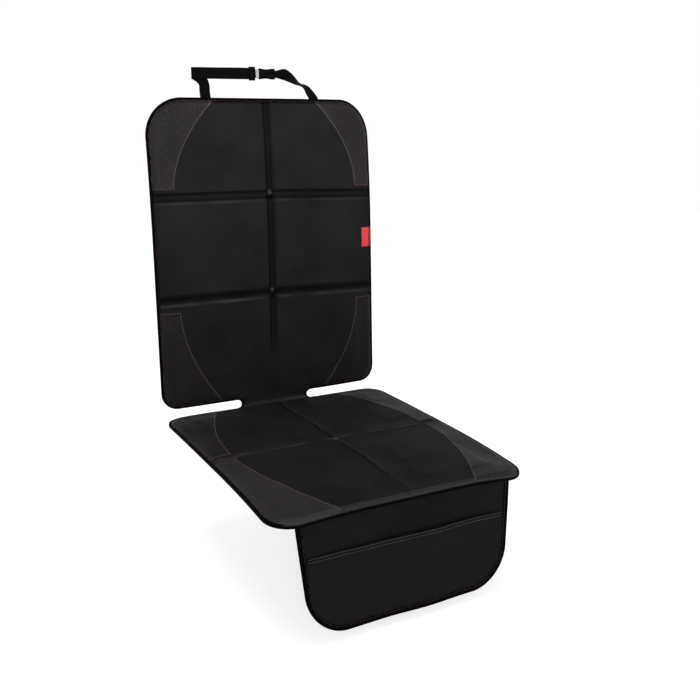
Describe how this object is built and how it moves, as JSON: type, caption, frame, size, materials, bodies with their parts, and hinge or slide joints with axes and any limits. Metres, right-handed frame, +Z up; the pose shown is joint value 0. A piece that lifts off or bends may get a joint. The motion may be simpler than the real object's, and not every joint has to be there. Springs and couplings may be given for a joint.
{
  "type": "car seat protector mat",
  "caption": "Quilted L-shaped mat for a vehicle seat, with foam pads, bound edges, corner patches, a front flap with a mesh pocket, and a buckled webbing strap over the top edge",
  "frame": {"origin": "the middle of the seat panel's underside where it rests on the vehicle's seat, 200 mm in front of the crease", "axes": "+Z up and along the backrest, -Y towards the front edge of the seat, +X across the mat, to the right of someone who faces the backrest"},
  "size_m": [0.47, 0.571, 0.8608],
  "materials": {
    "backing_cloth": "woven cloth with small rubber grip dots",
    "binding_tape": "folded woven tape, stitched",
    "face_cloth": "fine woven polyester",
    "pad_foam": "closed-cell foam sheet, inside the mat",
    "plug_plastic": "moulded light grey plastic",
    "black_plastic": "moulded black plastic",
    "pocket_mesh": "fine knitted mesh",
    "patch_cloth": "coarse oxford weave",
    "label_cloth": "bare red woven label",
    "webbing": "flat woven webbing"
  },
  "bodies": {
    "root": {"back_backing": "backing_cloth", "back_binding": "binding_tape", "back_face": "face_cloth", "back_pad_high_left": "pad_foam", "back_pad_high_right": "pad_foam", "back_pad_low_left": "pad_foam", "back_pad_low_right": "pad_foam", "back_pad_middle_left": "pad_foam", "back_pad_middle_right": "pad_foam", "buckle_plug": "plug_plastic", "buckle_socket": "black_plastic", "flap_binding": "binding_tape", "flap_panel": "face_cloth", "mesh_pocket": "pocket_mesh", "patch_back_high_left": "patch_cloth", "patch_back_high_right": "patch_cloth", "patch_back_low_left": "patch_cloth", "patch_back_low_right": "patch_cloth", "patch_seat_front_left": "patch_cloth", "patch_seat_front_right": "patch_cloth", "patch_seat_rear_left": "patch_cloth", "patch_seat_rear_right": "patch_cloth", "pocket_hem": "binding_tape", "seat_backing": "backing_cloth", "seat_binding": "binding_tape", "seat_face": "face_cloth", "seat_pad_front_left": "pad_foam", "seat_pad_front_right": "pad_foam", "seat_pad_rear_left": "pad_foam", "seat_pad_rear_right": "pad_foam", "side_tag": "label_cloth", "strap_left": "webbing", "strap_right": "webbing", "strap_slider": "black_plastic"}
  },
  "joints": []
}
